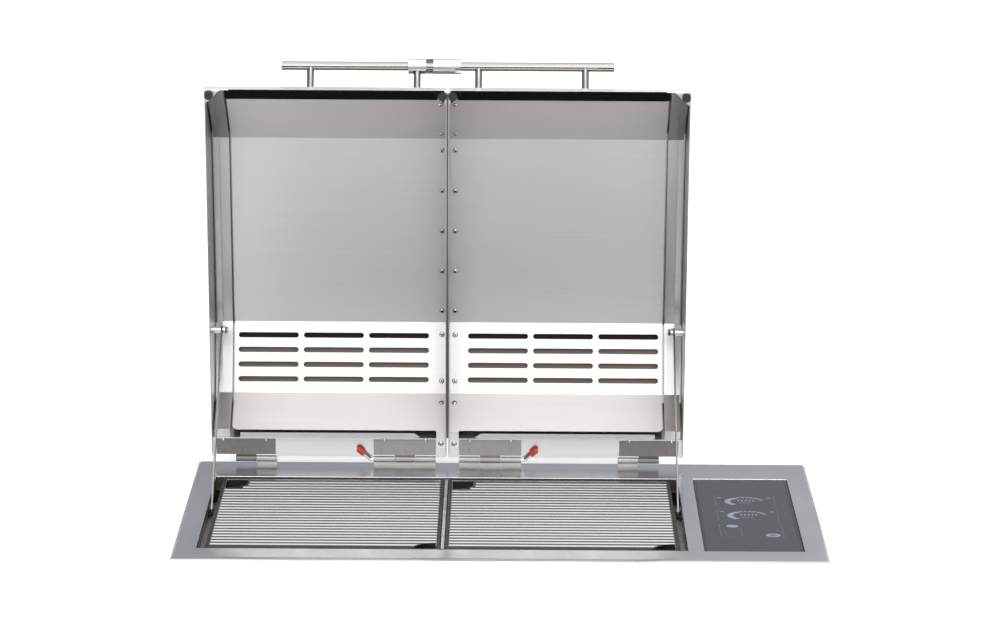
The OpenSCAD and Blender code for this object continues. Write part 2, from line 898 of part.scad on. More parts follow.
// Liner: bent panels with vent slots, and a tongue on the hinge plate
module lid_liner(side) {
    a = liner_path[slot_panel];
    dir = step(liner_path, slot_panel);
    panel = norm(liner_path[slot_panel + 1] - a);
    first_row = (panel - (slot_rows - 1) * slot_pitch_v) / 2;
    first_dir = step(liner_path, 0);
    tongue_rise = liner_path[0][1] - hinge_plate_w + liner_t;
    full_path = concat(
        [
            [tongue_u, hinge_plate_w - liner_t],
            liner_path[0] - first_dir * tongue_rise / first_dir[1]
        ],
        [for (i = [1 : len(liner_path) - 1]) liner_path[i]]
    );
    reach = liner_path[0][0];
    aside = reach * left_of(first_dir);
    color("lightgray")
        on_lid(side)
            difference() {
                across(lid_x0 + lid_t, liner_x1)
                    polygon(sheet(full_path, liner_t));
                across(lid_x0 + lid_t + tongue_w, liner_x1 + cut)
                    polygon([
                        liner_path[0] + aside,
                        liner_path[0] - aside,
                        liner_path[0] - aside - reach * first_dir,
                        liner_path[0] + aside - reach * first_dir
                    ]);
                translate([slot_x0, -a[0], a[1]])
                    rotate([-atan2(dir[1], dir[0]), 0, 0])
                        for (i = [0 : slot_cols - 1], j = [0 : slot_rows - 1])
                            translate([i * (slot_len + slot_gap_x), -(first_row + j * slot_pitch_v), 0])
                                vent_slot();
                translate([liner_x1, -liner_path[0][0], liner_path[0][1]])
                    rotate([-atan2(first_dir[1], first_dir[0]), 0, 0])
                        corner_cut(liner_corner_r);
                translate([lid_x0 + lid_t + tongue_w, -tongue_u, hinge_plate_w])
                    corner_cut(tongue_corner_r);
                at_screws()
                    cylinder(d = shank_d + 2 * run_clear, h = 4 * liner_t, center = true);
            }
}

// What a rounded sheet corner leaves out; the corner is at the origin, the sheet at -x and -y
module corner_cut(r) {
    linear_extrude(6 * liner_t, center = true)
        difference() {
            translate([-r, -r])
                square(r + cut);
            translate([-r, -r])
                circle(r = r);
        }
}

module vent_slot() {
    r = slot_w / 2;
    linear_extrude(6 * liner_t, center = true) {
        translate([r, -r])
            square([slot_len - slot_w, slot_w]);
        for (x = [r, slot_len - r])
            translate([x, 0])
                circle(r = r);
    }
}

module lid_liner_left() { lid_liner(-1); }
module lid_liner_right() { lid_liner(1); }

// Spacer channels between the liner and the shell's roof
module liner_spacers(side) {
    back_of_liner = shifted(liner_path, liner_t);
    channel_w = 20;
    channel_inset = 40;
    color("gray")
        on_lid(side)
            for (u = [ridge_u + channel_inset, brow_u - channel_inset - channel_w])
                across(lid_x0 + 3 * screw_x, liner_x1 - screw_x)
                    polygon(sheet([
                        [u + channel_w, height_at(back_of_liner, u) + run_clear],
                        [u + channel_w, height_at(shell_path, u + channel_w)],
                        [u, height_at(shell_path, u)],
                        [u, height_at(back_of_liner, u) + run_clear]
                    ], lid_t));
}

module liner_spacers_left() { liner_spacers(-1); }
module liner_spacers_right() { liner_spacers(1); }

// Button-head screws that hold the liner along the split
module liner_screws(side) {
    color("white")
        on_lid(side)
            at_screws() {
                translate([0, 0, -screw_h])
                    cylinder(d1 = screw_d - screw_h, d2 = screw_d, h = screw_h);
                cylinder(d = shank_d, h = liner_t + lid_t);
            }
}

module liner_screws_left() { liner_screws(-1); }
module liner_screws_right() { liner_screws(1); }

// Rubber bumpers under the corner gussets
module lid_bumpers(side) {
    inset = bumper_d / 2 + 2;
    color([0.15, 0.15, 0.15])
        on_lid(side)
            for (x = [lid_x0 + bumper_d / 2, lid_x1 - bumper_d / 2])
                translate([x, -lid_len + inset, slide_clear - rim_gap])
                    cylinder(d = bumper_d, h = rim_gap - slide_clear);
}

module lid_bumpers_left() { lid_bumpers(-1); }
module lid_bumpers_right() { lid_bumpers(1); }

// Handle frame: z stands out from the front slope of the lid, at the foot of the posts
module on_front_slope() {
    foot = front_b - handle_foot * unit(front_fall) + lid_t * left_of(unit(front_fall));
    translate([0, -foot[0], foot[1]])
        rotate([front_angle, 0, 0])
            children();
}

// Handle: a tube on two posts
module handle(side) {
    color("silver")
        on_lid(side)
            on_front_slope()
                union() {
                    bar(lid_x0, lid_x0 + handle_len, 0, handle_standoff, handle_d);
                    for (x = [post_x0, post_x1])
                        translate([x, 0, 0])
                            cylinder(d = post_d, h = handle_standoff);
                }
}

module handle_left() { handle(-1); }
module handle_right() { handle(1); }

// Sleeve that couples the handles: a window lets it slide past the post, and a leg lets it turn
module handle_sleeve() {
    r = sleeve_d / 2;
    window = post_d + 2 * slide_clear;
    window_x0 = -post_x0 - window / 2;
    window_x1 = -post_x0 + window / 2 + sleeve_travel;
    leg = window - 1;
    notch = 7;
    color("white")
        on_lid(1)
            on_front_slope()
                translate([0, 0, handle_standoff])
                    difference() {
                        bar(sleeve_x0, sleeve_x1, 0, 0, sleeve_d);
                        bar(sleeve_x0 - cut, sleeve_x1 + cut, 0, 0, handle_d + 2 * slide_clear);
                        block([window_x0, -window / 2, -r - cut], [window_x1, window / 2, 0]);
                        block([window_x1 - leg, -r - cut, -r], [window_x1, 0, r * 0.7]);
                        block([sleeve_x1 - notch, -r, -r - cut], [sleeve_x1 + cut, -r / 4, -r / 2]);
                    }
}

// Lid leaf of a hinge, under the hinge plate, with one knuckle
module hinge_leaf(side, x0, x1, knuckle_x0) {
    leaf_w = hinge_plate_w - leaf_t;
    color("gray")
        on_lid(side)
            difference() {
                union() {
                    block([x0, -leaf_u1, leaf_w], [x1, -hinge_plate_u0, hinge_plate_w]);
                    block(
                        [knuckle_x0, -hinge_plate_u0 - cut, leaf_w],
                        [knuckle_x0 + knuckle_len, 0, hinge_plate_w]
                    );
                    bar(knuckle_x0, knuckle_x0 + knuckle_len, 0, hinge_w, knuckle_d);
                }
                bar(knuckle_x0 - cut, knuckle_x0 + knuckle_len + cut, 0, hinge_w, pin_d + 2 * run_clear);
            }
}

module hinge_leaf_outer_left() { hinge_leaf(-1, outer_leaf_x0, outer_leaf_x1, outer_lid_x0); }
module hinge_leaf_outer_right() { hinge_leaf(1, outer_leaf_x0, outer_leaf_x1, outer_lid_x0); }
module hinge_leaf_inner_left() { hinge_leaf(-1, inner_leaf_x0, inner_leaf_x1, inner_lid_x0); }
module hinge_leaf_inner_right() { hinge_leaf(1, inner_leaf_x0, inner_leaf_x1, inner_lid_x0); }

// Release pin of an inner hinge: a bent rod, its tail leaning away from the hinge plate
tail_x = inner_leaf_x1 + pin_d;
tail_tip = [tail_len, -tail_len, -tail_dip];
tail_turn = atan2(tail_tip[1], tail_tip[0]);
tail_tilt = acos(tail_tip[2] / norm(tail_tip));

module on_pin_tail(side) {
    on_lid(side)
        translate([tail_x, 0, hinge_w])
            rotate([0, tail_tilt, tail_turn])
                children();
}

module release_pin(side) {
    color("silver")
        union() {
            on_lid(side)
                bar(inner_leaf_x0 - 1, tail_x, 0, hinge_w, pin_d);
            on_pin_tail(side) {
                sphere(d = pin_d);
                cylinder(d = pin_d, h = norm(tail_tip));
            }
        }
}

module release_pin_left() { release_pin(-1); }
module release_pin_right() { release_pin(1); }

// Vinyl cap on the tail of a release pin
module pin_cap(side) {
    cap_wall = (cap_d - pin_d) / 2;
    bite = cap_len - cap_wall;
    color("orangered")
        on_pin_tail(side)
            translate([0, 0, norm(tail_tip) - bite])
                difference() {
                    union() {
                        cylinder(d = cap_d, h = cap_len - cap_d / 2);
                        translate([0, 0, cap_len - cap_d / 2])
                            sphere(d = cap_d);
                    }
                    translate([0, 0, -cap_d])
                        cylinder(d = pin_d + 2 * run_clear, h = bite + cap_d);
                }
}

module pin_cap_left() { pin_cap(-1); }
module pin_cap_right() { pin_cap(1); }

// Shoulder bolt on the lid's side wall, on which a stay turns
module stay_bolt(side) {
    color("gray")
        on_lid(side) {
            bar(stay_x + stay_t + slide_clear, lid_x1 - lid_t, stay_u, stay_pivot_w, bolt_head_d);
            bar(stay_x - slide_clear, lid_x1 - lid_t, stay_u, stay_pivot_w, bolt_d);
            bar(
                stay_x - slide_clear - bolt_head_t,
                stay_x - slide_clear,
                stay_u,
                stay_pivot_w,
                bolt_head_d
            );
        }
}

module stay_bolt_left() { stay_bolt(-1); }
module stay_bolt_right() { stay_bolt(1); }

// The stay's frame: x along the bar from the pivot to the shoe, z through its thickness
module on_stay(side) {
    on_base(side)
        translate([stay_x + stay_t, pivot_y, pivot_z])
            rotate([stay_tilt, 0, 0])
                rotate([90, 0, -90])
                    children();
}

module stay_strap(side) {
    color("lightgray")
        on_stay(side)
            linear_extrude(stay_t)
                difference() {
                    union() {
                        translate([0, -stay_w / 2])
                            square([stay_len, stay_w]);
                        for (x = [0, stay_len])
                            translate([x, 0])
                                circle(d = stay_w);
                    }
                    circle(d = bolt_d + 2 * run_clear);
                    translate([stay_len, 0])
                        circle(d = shoe_pin_d + 2 * run_clear);
                }
}

module stay_strap_left() { stay_strap(-1); }
module stay_strap_right() { stay_strap(1); }

// Shoe riveted to the foot of a stay
module stay_shoe(side) {
    cheek = (track_w - 2 * track_t - stay_t) / 2 - slide_clear;
    color([0.1, 0.1, 0.1])
        on_stay(side)
            translate([stay_len, 0, 0]) {
                translate([0, 0, -cheek])
                    cylinder(d = shoe_d, h = cheek);
                cylinder(d = shoe_pin_d, h = stay_t);
                translate([0, 0, stay_t])
                    cylinder(d = shoe_d, h = cheek);
            }
}

module stay_shoe_left() { stay_shoe(-1); }
module stay_shoe_right() { stay_shoe(1); }

// Plan of a finger hole: a quarter round with a straight stretch, from its corner
module finger_plan(run, r) {
    intersection() {
        union() {
            if (run > 0)
                square([r, run]);
            translate([0, run])
                circle(r = r);
        }
        square([r, run + r]);
    }
}

// Grate: rails, round-topped ribs from side to side, and two finger holes with a wall
module grate(x0) {
    w = grate_x1 - grate_x0;
    d = grate_y1 - grate_y0;
    rib_pitch = (d - 2 * rail_w) / rib_count;
    rib_base = 4;
    web_w = 6;
    corners = [
        [rail_w, d - rail_w, false, finger_run],
        [w - rail_w, rail_w, true, 0]
    ];
    color("gray")
        translate([x0, grate_y0, grate_z0])
            union() {
                difference() {
                    union() {
                        for (i = [0 : rib_count - 1])
                            translate([rail_w / 2, rail_w + (i + 0.5) * rib_pitch, 0])
                                rib(w - rail_w, rib_base);
                        for (x = [w / 3, 2 * w / 3])
                            block(
                                [x - web_w / 2, rail_w / 2, 0],
                                [x + web_w / 2, d - rail_w / 2, rib_base + 2]
                            );
                    }
                    for (c = corners)
                        translate([c[0], c[1], -cut])
                            corner_plan(c[2], c[3], finger_r, grate_h + 2 * cut);
                }
                difference() {
                    cube([w, d, grate_h - rail_drop]);
                    translate([rail_w, rail_w, -cut])
                        cube([w - 2 * rail_w, d - 2 * rail_w, grate_h + 2 * cut]);
                }
                for (c = corners)
                    translate([c[0], c[1], 0])
                        difference() {
                            corner_plan(c[2], c[3], finger_r + finger_wall, grate_h - wall_drop);
                            translate([0, 0, -cut])
                                corner_plan(c[2], c[3], finger_r, grate_h + 2 * cut);
                        }
            }
}

module corner_plan(at_front, run, r, h) {
    linear_extrude(h)
        mirror(at_front ? [1, 0] : [0, 1])
            finger_plan(run, r);
}

module rib(length, base) {
    rotate([90, 0, 90])
        linear_extrude(length) {
            translate([-rib_w / 2, base])
                square([rib_w, grate_h - base - rib_w / 2]);
            translate([0, grate_h - rib_w / 2])
                circle(d = rib_w);
        }
}

module grate_left() { grate(split_x - grate_x1); }
module grate_right() { grate(split_x + grate_x0); }

chassis_wrap();
chassis_end_left();
chassis_end_right();
counter_gasket();
top_plate();
firebox_pan();
heat_shield();
grate_ledges();
centre_bridge();
stay_track_left();
stay_track_right();
element_left();
element_right();
element_supports();
drip_pan_left();
drip_pan_right();
temperature_probes();
control_box();
glass_seal();
control_glass();
touch_board();
relay_board();
terminal_block();
cable_gland();
hinge_base_outer_left();
hinge_base_inner_left();
hinge_base_outer_right();
hinge_base_inner_right();
hinge_pin_outer_left();
hinge_pin_outer_right();
lid_shell_left();
lid_liner_left();
liner_spacers_left();
liner_screws_left();
lid_bumpers_left();
handle_left();
hinge_leaf_outer_left();
hinge_leaf_inner_left();
stay_bolt_left();
stay_strap_left();
stay_shoe_left();
release_pin_left();
pin_cap_left();
lid_shell_right();
lid_liner_right();
liner_spacers_right();
liner_screws_right();
lid_bumpers_right();
handle_right();
hinge_leaf_outer_right();
hinge_leaf_inner_right();
stay_bolt_right();
stay_strap_right();
stay_shoe_right();
release_pin_right();
pin_cap_right();
handle_sleeve();
grate_left();
grate_right();
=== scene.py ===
import math

import bmesh
import bpy
from mathutils import Matrix, Vector


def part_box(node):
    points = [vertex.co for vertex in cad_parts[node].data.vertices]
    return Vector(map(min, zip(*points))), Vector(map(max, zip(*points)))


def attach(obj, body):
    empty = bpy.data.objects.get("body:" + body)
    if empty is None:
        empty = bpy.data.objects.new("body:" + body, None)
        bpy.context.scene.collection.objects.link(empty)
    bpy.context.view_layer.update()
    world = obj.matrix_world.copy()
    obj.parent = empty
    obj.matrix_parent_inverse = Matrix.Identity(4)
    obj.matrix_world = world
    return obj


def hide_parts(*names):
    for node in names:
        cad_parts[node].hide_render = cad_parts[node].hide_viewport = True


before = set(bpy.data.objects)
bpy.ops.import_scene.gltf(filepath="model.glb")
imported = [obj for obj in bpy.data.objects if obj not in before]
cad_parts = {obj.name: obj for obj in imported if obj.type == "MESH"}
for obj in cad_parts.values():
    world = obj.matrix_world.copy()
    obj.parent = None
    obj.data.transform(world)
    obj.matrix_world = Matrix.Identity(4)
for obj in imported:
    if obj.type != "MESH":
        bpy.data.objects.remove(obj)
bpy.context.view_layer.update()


# Chassis: one mill-finish stainless sheet bent into front, bottom and back, with two end plates
# spot-welded on. It hangs in the counter and is never polished, so it stays dull and cloudy.
def linear(code):
    """The linear colour of an sRGB hex value."""
    parts = [int(code[i:i + 2], 16) / 255 for i in (1, 3, 5)]
    return [p / 12.92 if p <= 0.04045 else ((p + 0.055) / 1.055) ** 2.4 for p in parts] + [1]


def add(tree, kind, inputs=None, stops=(), **settings):
    """Adds a node with its settings. An input is a value, or the output that feeds it.

    Stops are the positions and hex colours along a colour ramp, from its low end up.
    """
    made = tree.nodes.new("ShaderNode" + kind)
    for name, value in settings.items():
        setattr(made, name, value)
    for socket, value in (inputs or {}).items():
        if isinstance(value, bpy.types.NodeSocket):
            tree.links.new(value, made.inputs[socket])
        else:
            made.inputs[socket].default_value = value
    for end in (0, -1) if stops else ():
        made.color_ramp.elements[end].position = stops[end][0]
        made.color_ramp.elements[end].color = linear(stops[end][1])
    for position, code in stops[1:-1]:
        made.color_ramp.elements.new(position).color = linear(code)
    return made


def blank(name):
    """An empty finish: the material, its tree and the place on the object, in metres."""
    finish = bpy.data.materials.new(name)
    finish.use_nodes = True
    finish.node_tree.nodes.clear()
    return finish, finish.node_tree, add(finish.node_tree, "TexCoord").outputs["Object"]


def shade(tree, inputs):
    """Ends a finish with its shader."""
    shader = add(tree, "BsdfPrincipled", inputs)
    add(tree, "OutputMaterial", {"Surface": shader.outputs["BSDF"]})


def dress(finish, names, edge_mm=0, from_deg=40):
    """Puts a finish on CAD nodes, and breaks their edges from an angle up, as deburring does."""
    for name in names:
        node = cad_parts[name]
        node.material_slots[0].material = finish
        if edge_mm:
            weld = node.modifiers.new("Weld", "WELD")
            weld.merge_threshold = 1e-6
            edge = node.modifiers.new("Edge", "BEVEL")
            edge.width = edge_mm / 1000
            edge.segments = 2
            edge.limit_method = "ANGLE"
            edge.angle_limit = math.radians(from_deg)
            node.modifiers.new("Normals", "WEIGHTED_NORMAL")


def mill_stainless(name, light, dark, roughness):
    """Stainless as it leaves the rolling mill: grey, faintly clouded, with no direction."""
    finish, tree, where = blank(name)
    cloud_mm = 35
    pit_mm = 0.8  # real pits are under 0.05 mm; drawn coarser so that they show
    cloud = add(tree, "TexNoise", {"Vector": where, "Scale": 1000 / cloud_mm, "Detail": 4})
    pits = add(tree, "TexNoise", {"Vector": where, "Scale": 1000 / pit_mm, "Detail": 2})
    tone = add(tree, "ValToRGB", {"Fac": cloud.outputs["Fac"]}, [(0.35, dark), (0.7, light)])
    rough = add(tree, "MapRange", {
        "Value": cloud.outputs["Fac"], "From Min": 0.3, "From Max": 0.7,
        "To Min": roughness - 0.06, "To Max": roughness + 0.06,
    })
    bump = add(tree, "Bump", {"Height": pits.outputs["Fac"], "Strength": 0.02, "Distance": 0.0003})
    shade(tree, {
        "Base Color": tone.outputs["Color"], "Metallic": 1, "Roughness": rough.outputs["Result"],
        "Normal": bump.outputs["Normal"],
    })
    return finish


chassis_steel = mill_stainless("mill-finish stainless sheet", "#b4b5b7", "#8f9092", 0.42)
dress(chassis_steel, ["chassis_wrap", "chassis_end_left", "chassis_end_right"], 0.4)


# Counter gasket: a moulded silicone ring under the top plate that keeps water out of the cut-out,
# and the seal of the same silicone under the glass. Matt, dark, with a fine mould grain.
def moulded(name, light, dark, roughness, grain_mm, gloss=0.5):
    """Moulded rubber or plastic: one colour, matt, with the spark-eroded grain of its tool."""
    finish, tree, where = blank(name)
    grain = add(tree, "TexNoise", {"Vector": where, "Scale": 1000 / grain_mm, "Detail": 3})
    tone = add(tree, "ValToRGB", {"Fac": grain.outputs["Fac"]}, [(0, dark), (1, light)])
    rough = add(tree, "MapRange", {
        "Value": grain.outputs["Fac"], "To Min": roughness - 0.1, "To Max": roughness + 0.1,
    })
    bump = add(tree, "Bump", {"Height": grain.outputs["Fac"], "Strength": 0.15, "Distance": 0.0003})
    shade(tree, {
        "Base Color": tone.outputs["Color"], "Roughness": rough.outputs["Result"],
        "Specular IOR Level": gloss, "Normal": bump.outputs["Normal"],
    })
    return finish


silicone = moulded("moulded black silicone", "#2c2d2f", "#1b1c1e", 0.6, 1.2)
dress(silicone, ["counter_gasket", "glass_seal"])


# Firebox: a welded stainless tub with its heat shield, the ledges under the grates, the bars under
# the heating tubes and the drip pans. Its steel is coloured darker and browner towards the floor.
def darker_downward_sheet():
    """Stainless sheet: grey near the rim, darker and browner further down."""
    finish, tree, where = blank("stainless sheet darker towards the floor")
    low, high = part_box("firebox_pan")
    cloud_mm = 45
    place = add(tree, "SeparateXYZ", {"Vector": where})
    cloud = add(tree, "TexNoise", {"Vector": where, "Scale": 1000 / cloud_mm, "Detail": 5})
    height = add(tree, "MapRange", {
        "Value": place.outputs["Z"], "From Min": low.z, "From Max": high.z,
    })
    depth = add(tree, "MixRGB", {
        "Fac": 0.35, "Color1": height.outputs["Result"], "Color2": cloud.outputs["Fac"],
    })
    # Darker and browner towards the floor of the tub, graded by height.
    downward_tone = add(tree, "ValToRGB", {"Fac": depth.outputs["Color"]}, [
        (0.1, "#3c3631"), (0.45, "#544c45"), (0.85, "#6a6968"),
    ])
    rough = add(tree, "MapRange", {"Value": cloud.outputs["Fac"], "To Min": 0.35, "To Max": 0.55})
    shade(tree, {
        "Base Color": downward_tone.outputs["Color"], "Metallic": 1, "Roughness": rough.outputs["Result"],
    })
    return finish


dress(darker_downward_sheet(), [
    "firebox_pan", "heat_shield", "grate_ledges", "element_supports", "drip_pan_left",
    "drip_pan_right", "temperature_probes",
])


# Heating tubes: nickel-alloy sheaths drawn over a wire in packed magnesia, bent to and fro over
# each zone and clipped to the support bars. Use has oxidised them to a matt dark grey.
def oxidised_sheath():
    """Drawn nickel-alloy tube after heating: dark, matt and blotched."""
    finish, tree, where = blank("oxidised nickel-alloy tube")
    blotch_mm = 9
    blotch = add(tree, "TexNoise", {"Vector": where, "Scale": 1000 / blotch_mm, "Detail": 6})
    tone = add(tree, "ValToRGB", {"Fac": blotch.outputs["Fac"]}, [(0, "#2f302f"), (1, "#5a5853")])
    bump = add(tree, "Bump", {"Height": blotch.outputs["Fac"], "Strength": 0.1, "Distance": 0.0004})
    shade(tree, {
        "Base Color": tone.outputs["Color"], "Metallic": 0.6, "Roughness": 0.55,
        "Normal": bump.outputs["Normal"],
    })
    return finish


dress(oxidised_sheath(), ["element_left", "element_right"])


# Control box: a folded mill-finish box under the glass with the touch board, the power board, the
# terminal block and the cable gland in it. All of it sits below the counter.
def solder_mask():
    """Glass-fibre laminate under green solder mask, with the weave just showing."""
    finish, tree, where = blank("solder-masked laminate")
    weave_mm = 0.9
    weave = add(tree, "TexChecker", {
        "Vector": where, "Scale": 1000 / weave_mm, "Color1": linear("#1f5a35"),
        "Color2": linear("#1a4d2d"),
    })
    shade(tree, {"Base Color": weave.outputs["Color"], "Roughness": 0.4})
    return finish


dress(chassis_steel, ["control_box"])
dress(solder_mask(), ["touch_board", "relay_board"])
dress(moulded("moulded ivory polyamide", "#e3dcc6", "#d6cdb4", 0.5, 1.5), ["terminal_block"])
black_nylon = moulded("moulded black nylon", "#242527", "#17181a", 0.45, 1.0)
dress(black_nylon, ["cable_gland"])


# Top plate: a 1.5 mm stainless flange with folded edges, brushed from left to right. The rear strip
# mirrors the hinges, since brushing blurs only across its lines.
def brushed_stainless(name, light, dark, roughness):
    """Stainless brushed along X: faint lines, and a reflection that smears across them."""
    finish, tree, where = blank(name)
    line_mm = 0.9  # real lines are about 0.1 mm apart; drawn coarser so that they show
    run_mm = 160
    cloud_mm = 160
    stretch = add(tree, "Mapping", {
        "Vector": where, "Scale": (1000 / run_mm, 1000 / line_mm, 1000 / line_mm),
    })
    lines = add(tree, "TexNoise", {"Vector": stretch.outputs["Vector"], "Scale": 1, "Detail": 3})
    cloud = add(tree, "TexNoise", {"Vector": where, "Scale": 1000 / cloud_mm, "Detail": 3})
    tone = add(tree, "ValToRGB", {"Fac": lines.outputs["Fac"]}, [(0.2, dark), (0.8, light)])
    rough = add(tree, "MapRange", {
        "Value": cloud.outputs["Fac"], "From Min": 0.3, "From Max": 0.7,
        "To Min": roughness - 0.02, "To Max": roughness + 0.02,
    })
    bump = add(tree, "Bump", {
        "Height": lines.outputs["Fac"], "Strength": 0.015, "Distance": 0.0002,
    })
    facing = add(tree, "NewGeometry").outputs["Normal"]
    across = add(tree, "VectorMath", {0: facing, 1: (1, 0, 0)}, operation="CROSS_PRODUCT")
    shade(tree, {
        "Base Color": tone.outputs["Color"], "Metallic": 1, "Roughness": rough.outputs["Result"],
        "Anisotropic": 0.6, "Tangent": across.outputs["Vector"], "Normal": bump.outputs["Normal"],
    })
    return finish


dress(brushed_stainless("brushed stainless plate", "#dbdce0", "#d3d4d8", 0.2), ["top_plate"], 0.5)


# Stay tracks: folded stainless channels spot-welded to the firebox walls, in which the shoes of the
# stays run. Their steel is painted dark, painted shade for the deep channels; only the upper edges
# shine.
# Painted shade: the channel steel is coloured dark for the shade deep inside the channels.
channel_shade_steel = mill_stainless("stainless channel painted dark as shade", "#7d7b79", "#5f5d5b", 0.3)
dress(channel_shade_steel, ["stay_track_left", "stay_track_right"], 0.3)


# Grates: cast aluminium with a dark hard coat. The shoulders of the round ribs are ground bare and
# shine, and the rails keep the coat. The hollows between the ribs are painted dark as painted
# shade, and the crowns are painted darker as a painted dark reflection. A bent strip of bright
# stainless bridges the gap between the two.
def ground_casting():
    """Cast aluminium: coated rails, bright shoulders, painted shade in hollows, painted reflection
    on crowns.
    """
    finish, tree, where = blank("ground and hard-coated cast aluminium")
    grind_mm = 0.7
    grind_run_mm = 60
    sand_mm = 1.3
    side_rail, front_rail = 0.004, 0.0103
    shoulder_drop, crown_drop = 0.0018, 0.0005
    fade, front_fade = 0.0004, 0.0005
    low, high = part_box("grate_right")
    mirror_x = (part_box("grate_left")[1].x + low.x) / 2
    middle = (low.x + high.x) / 2 - mirror_x
    half = (high.x - low.x) / 2
    place = add(tree, "SeparateXYZ", {"Vector": where})
    stretch = add(tree, "Mapping", {
        "Vector": where, "Scale": (1000 / grind_run_mm, 1000 / grind_mm, 1000 / grind_mm),
    })
    grind = add(tree, "TexNoise", {"Vector": stretch.outputs["Vector"], "Scale": 1, "Detail": 2})
    sand = add(tree, "TexNoise", {"Vector": where, "Scale": 1000 / sand_mm, "Detail": 3})
    aside = add(tree, "Math", {0: place.outputs["X"], 1: mirror_x}, operation="SUBTRACT")
    out = add(tree, "Math", {0: aside.outputs[0]}, operation="ABSOLUTE")
    off = add(tree, "Math", {0: out.outputs[0], 1: middle}, operation="SUBTRACT")
    edge = add(tree, "Math", {0: off.outputs[0]}, operation="ABSOLUTE")
    inside = add(tree, "MapRange", {
        "Value": edge.outputs[0], "From Min": half - side_rail - fade, "From Max": half - side_rail,
        "To Min": 1, "To Max": 0,
    })
    behind = add(tree, "MapRange", {
        "Value": place.outputs["Y"], "From Min": low.y + front_rail,
        "From Max": low.y + front_rail + front_fade,
    })
    within = add(tree, "Math", {0: inside.outputs["Result"], 1: behind.outputs["Result"]},
                 operation="MULTIPLY")
    # Painted shade: below the rib shoulders the hollows get the dark coat colour.
    height = add(tree, "MapRange", {
        "Value": place.outputs["Z"], "From Min": high.z - shoulder_drop - fade,
        "From Max": high.z - shoulder_drop,
    })
    # Painted dark reflection: the top half millimetre of each rib crown is painted darker.
    crown_painted_reflection = add(tree, "MapRange", {
        "Value": place.outputs["Z"], "From Min": high.z - crown_drop - fade,
        "From Max": high.z - crown_drop,
    })
    ground = add(tree, "Math", {0: height.outputs["Result"], 1: within.outputs[0]},
                 operation="MULTIPLY")
    bare = add(tree, "ValToRGB", {"Fac": grind.outputs["Fac"]}, [(0, "#a2a2a1"), (1, "#b2b2b1")])
    with_painted_light = add(tree, "MixRGB", {
        "Fac": crown_painted_reflection.outputs["Result"], "Color1": bare.outputs["Color"],
        "Color2": linear("#5c5a58"),
    })
    tone = add(tree, "MixRGB", {
        "Fac": ground.outputs[0], "Color1": linear("#3f4041"), "Color2": with_painted_light.outputs["Color"],
    })
    rough = add(tree, "MapRange", {"Value": ground.outputs[0], "To Min": 0.5, "To Max": 0.2})
    bump = add(tree, "Bump", {"Height": sand.outputs["Fac"], "Strength": 0.06, "Distance": 0.0004})
    shade(tree, {
        "Base Color": tone.outputs["Color"], "Metallic": 1, "Roughness": rough.outputs["Result"],
        "Normal": bump.outputs["Normal"],
    })
    return finish


dress(ground_casting(), ["grate_left", "grate_right"])
bright_steel = mill_stainless("bright-rolled stainless strip", "#d9d7d4", "#c9c7c4", 0.25)
dress(bright_steel, ["centre_bridge"], 0.3)


# Control glass: 4 mm tempered glass, printed dark on its underside, so that it mirrors like black
# water. It lies in a silicone seal just below the plate.
def back_printed_glass():
    """Tempered glass over dark ink: deep blue-grey, mirror smooth, faint wipe marks."""
    finish, tree, where = blank("back-printed tempered glass")
    wipe_mm = 30
    wipe = add(tree, "TexNoise", {"Vector": where, "Scale": 1000 / wipe_mm, "Detail": 4})
    tone = add(tree, "ValToRGB", {"Fac": wipe.outputs["Fac"]}, [(0, "#191c26"), (1, "#1f222d")])
    rough = add(tree, "MapRange", {"Value": wipe.outputs["Fac"], "To Min": 0.06, "To Max": 0.12})
    shade(tree, {
        "Base Color": tone.outputs["Color"], "Roughness": rough.outputs["Result"], "IOR": 1.5,
        "Specular IOR Level": 0.3,
    })
    return finish


dress(back_printed_glass(), ["control_glass"], 0.4)


# Print on the glass: a black frit border, two dials and two keys in pale ceramic ink, and their
# thin frames in a greyer one. All of it is screen-printed and fired on as one thin layer.
glass_low, glass_high = (corner * 1000 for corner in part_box("control_glass"))
ink_low, ink_high = glass_high.z + 0.01, glass_high.z + 0.06
ink_line = 0.7
full_turn, turn_steps = 345, 23


def fired_ink(name, light, dark):
    """Screen-printed ceramic ink: even, slightly chalky, with the mesh of the screen in it."""
    finish, tree, where = blank(name)
    mesh_mm = 0.6
    dots = add(tree, "TexNoise", {"Vector": where, "Scale": 1000 / mesh_mm, "Detail": 1})
    tone = add(tree, "ValToRGB", {"Fac": dots.outputs["Fac"]}, [(0, dark), (1, light)])
    shade(tree, {"Base Color": tone.outputs["Color"], "Roughness": 0.35})
    return finish


def piece(name, shape, finish, body):
    """A new piece from a finished shape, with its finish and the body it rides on."""
    crease_deg = 35
    mesh = bpy.data.meshes.new(name)
    bmesh.ops.recalc_face_normals(shape, faces=shape.faces)
    shape.to_mesh(mesh)
    shape.free()
    mesh.materials.append(finish)
    mesh.polygons.foreach_set("use_smooth", [True] * len(mesh.polygons))
    mesh.set_sharp_from_angle(angle=math.radians(crease_deg))
    made = bpy.data.objects.new(name, mesh)
    bpy.context.scene.collection.objects.link(made)
    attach(made, body)
    return made


def loft(shape, rings, place=Matrix.Diagonal((0.001, 0.001, 0.001, 1))):
    """Joins rings of points, in mm at a place, to one closed body."""
    made = [[shape.verts.new(place @ Vector(point)) for point in ring] for ring in rings]
    shape.faces.new(made[0])
    shape.faces.new(made[-1])
    for ring, after in zip(made, made[1:]):
        for k in range(len(ring)):
            n = (k + 1) % len(ring)
            shape.faces.new([ring[k], ring[n], after[n], after[k]])


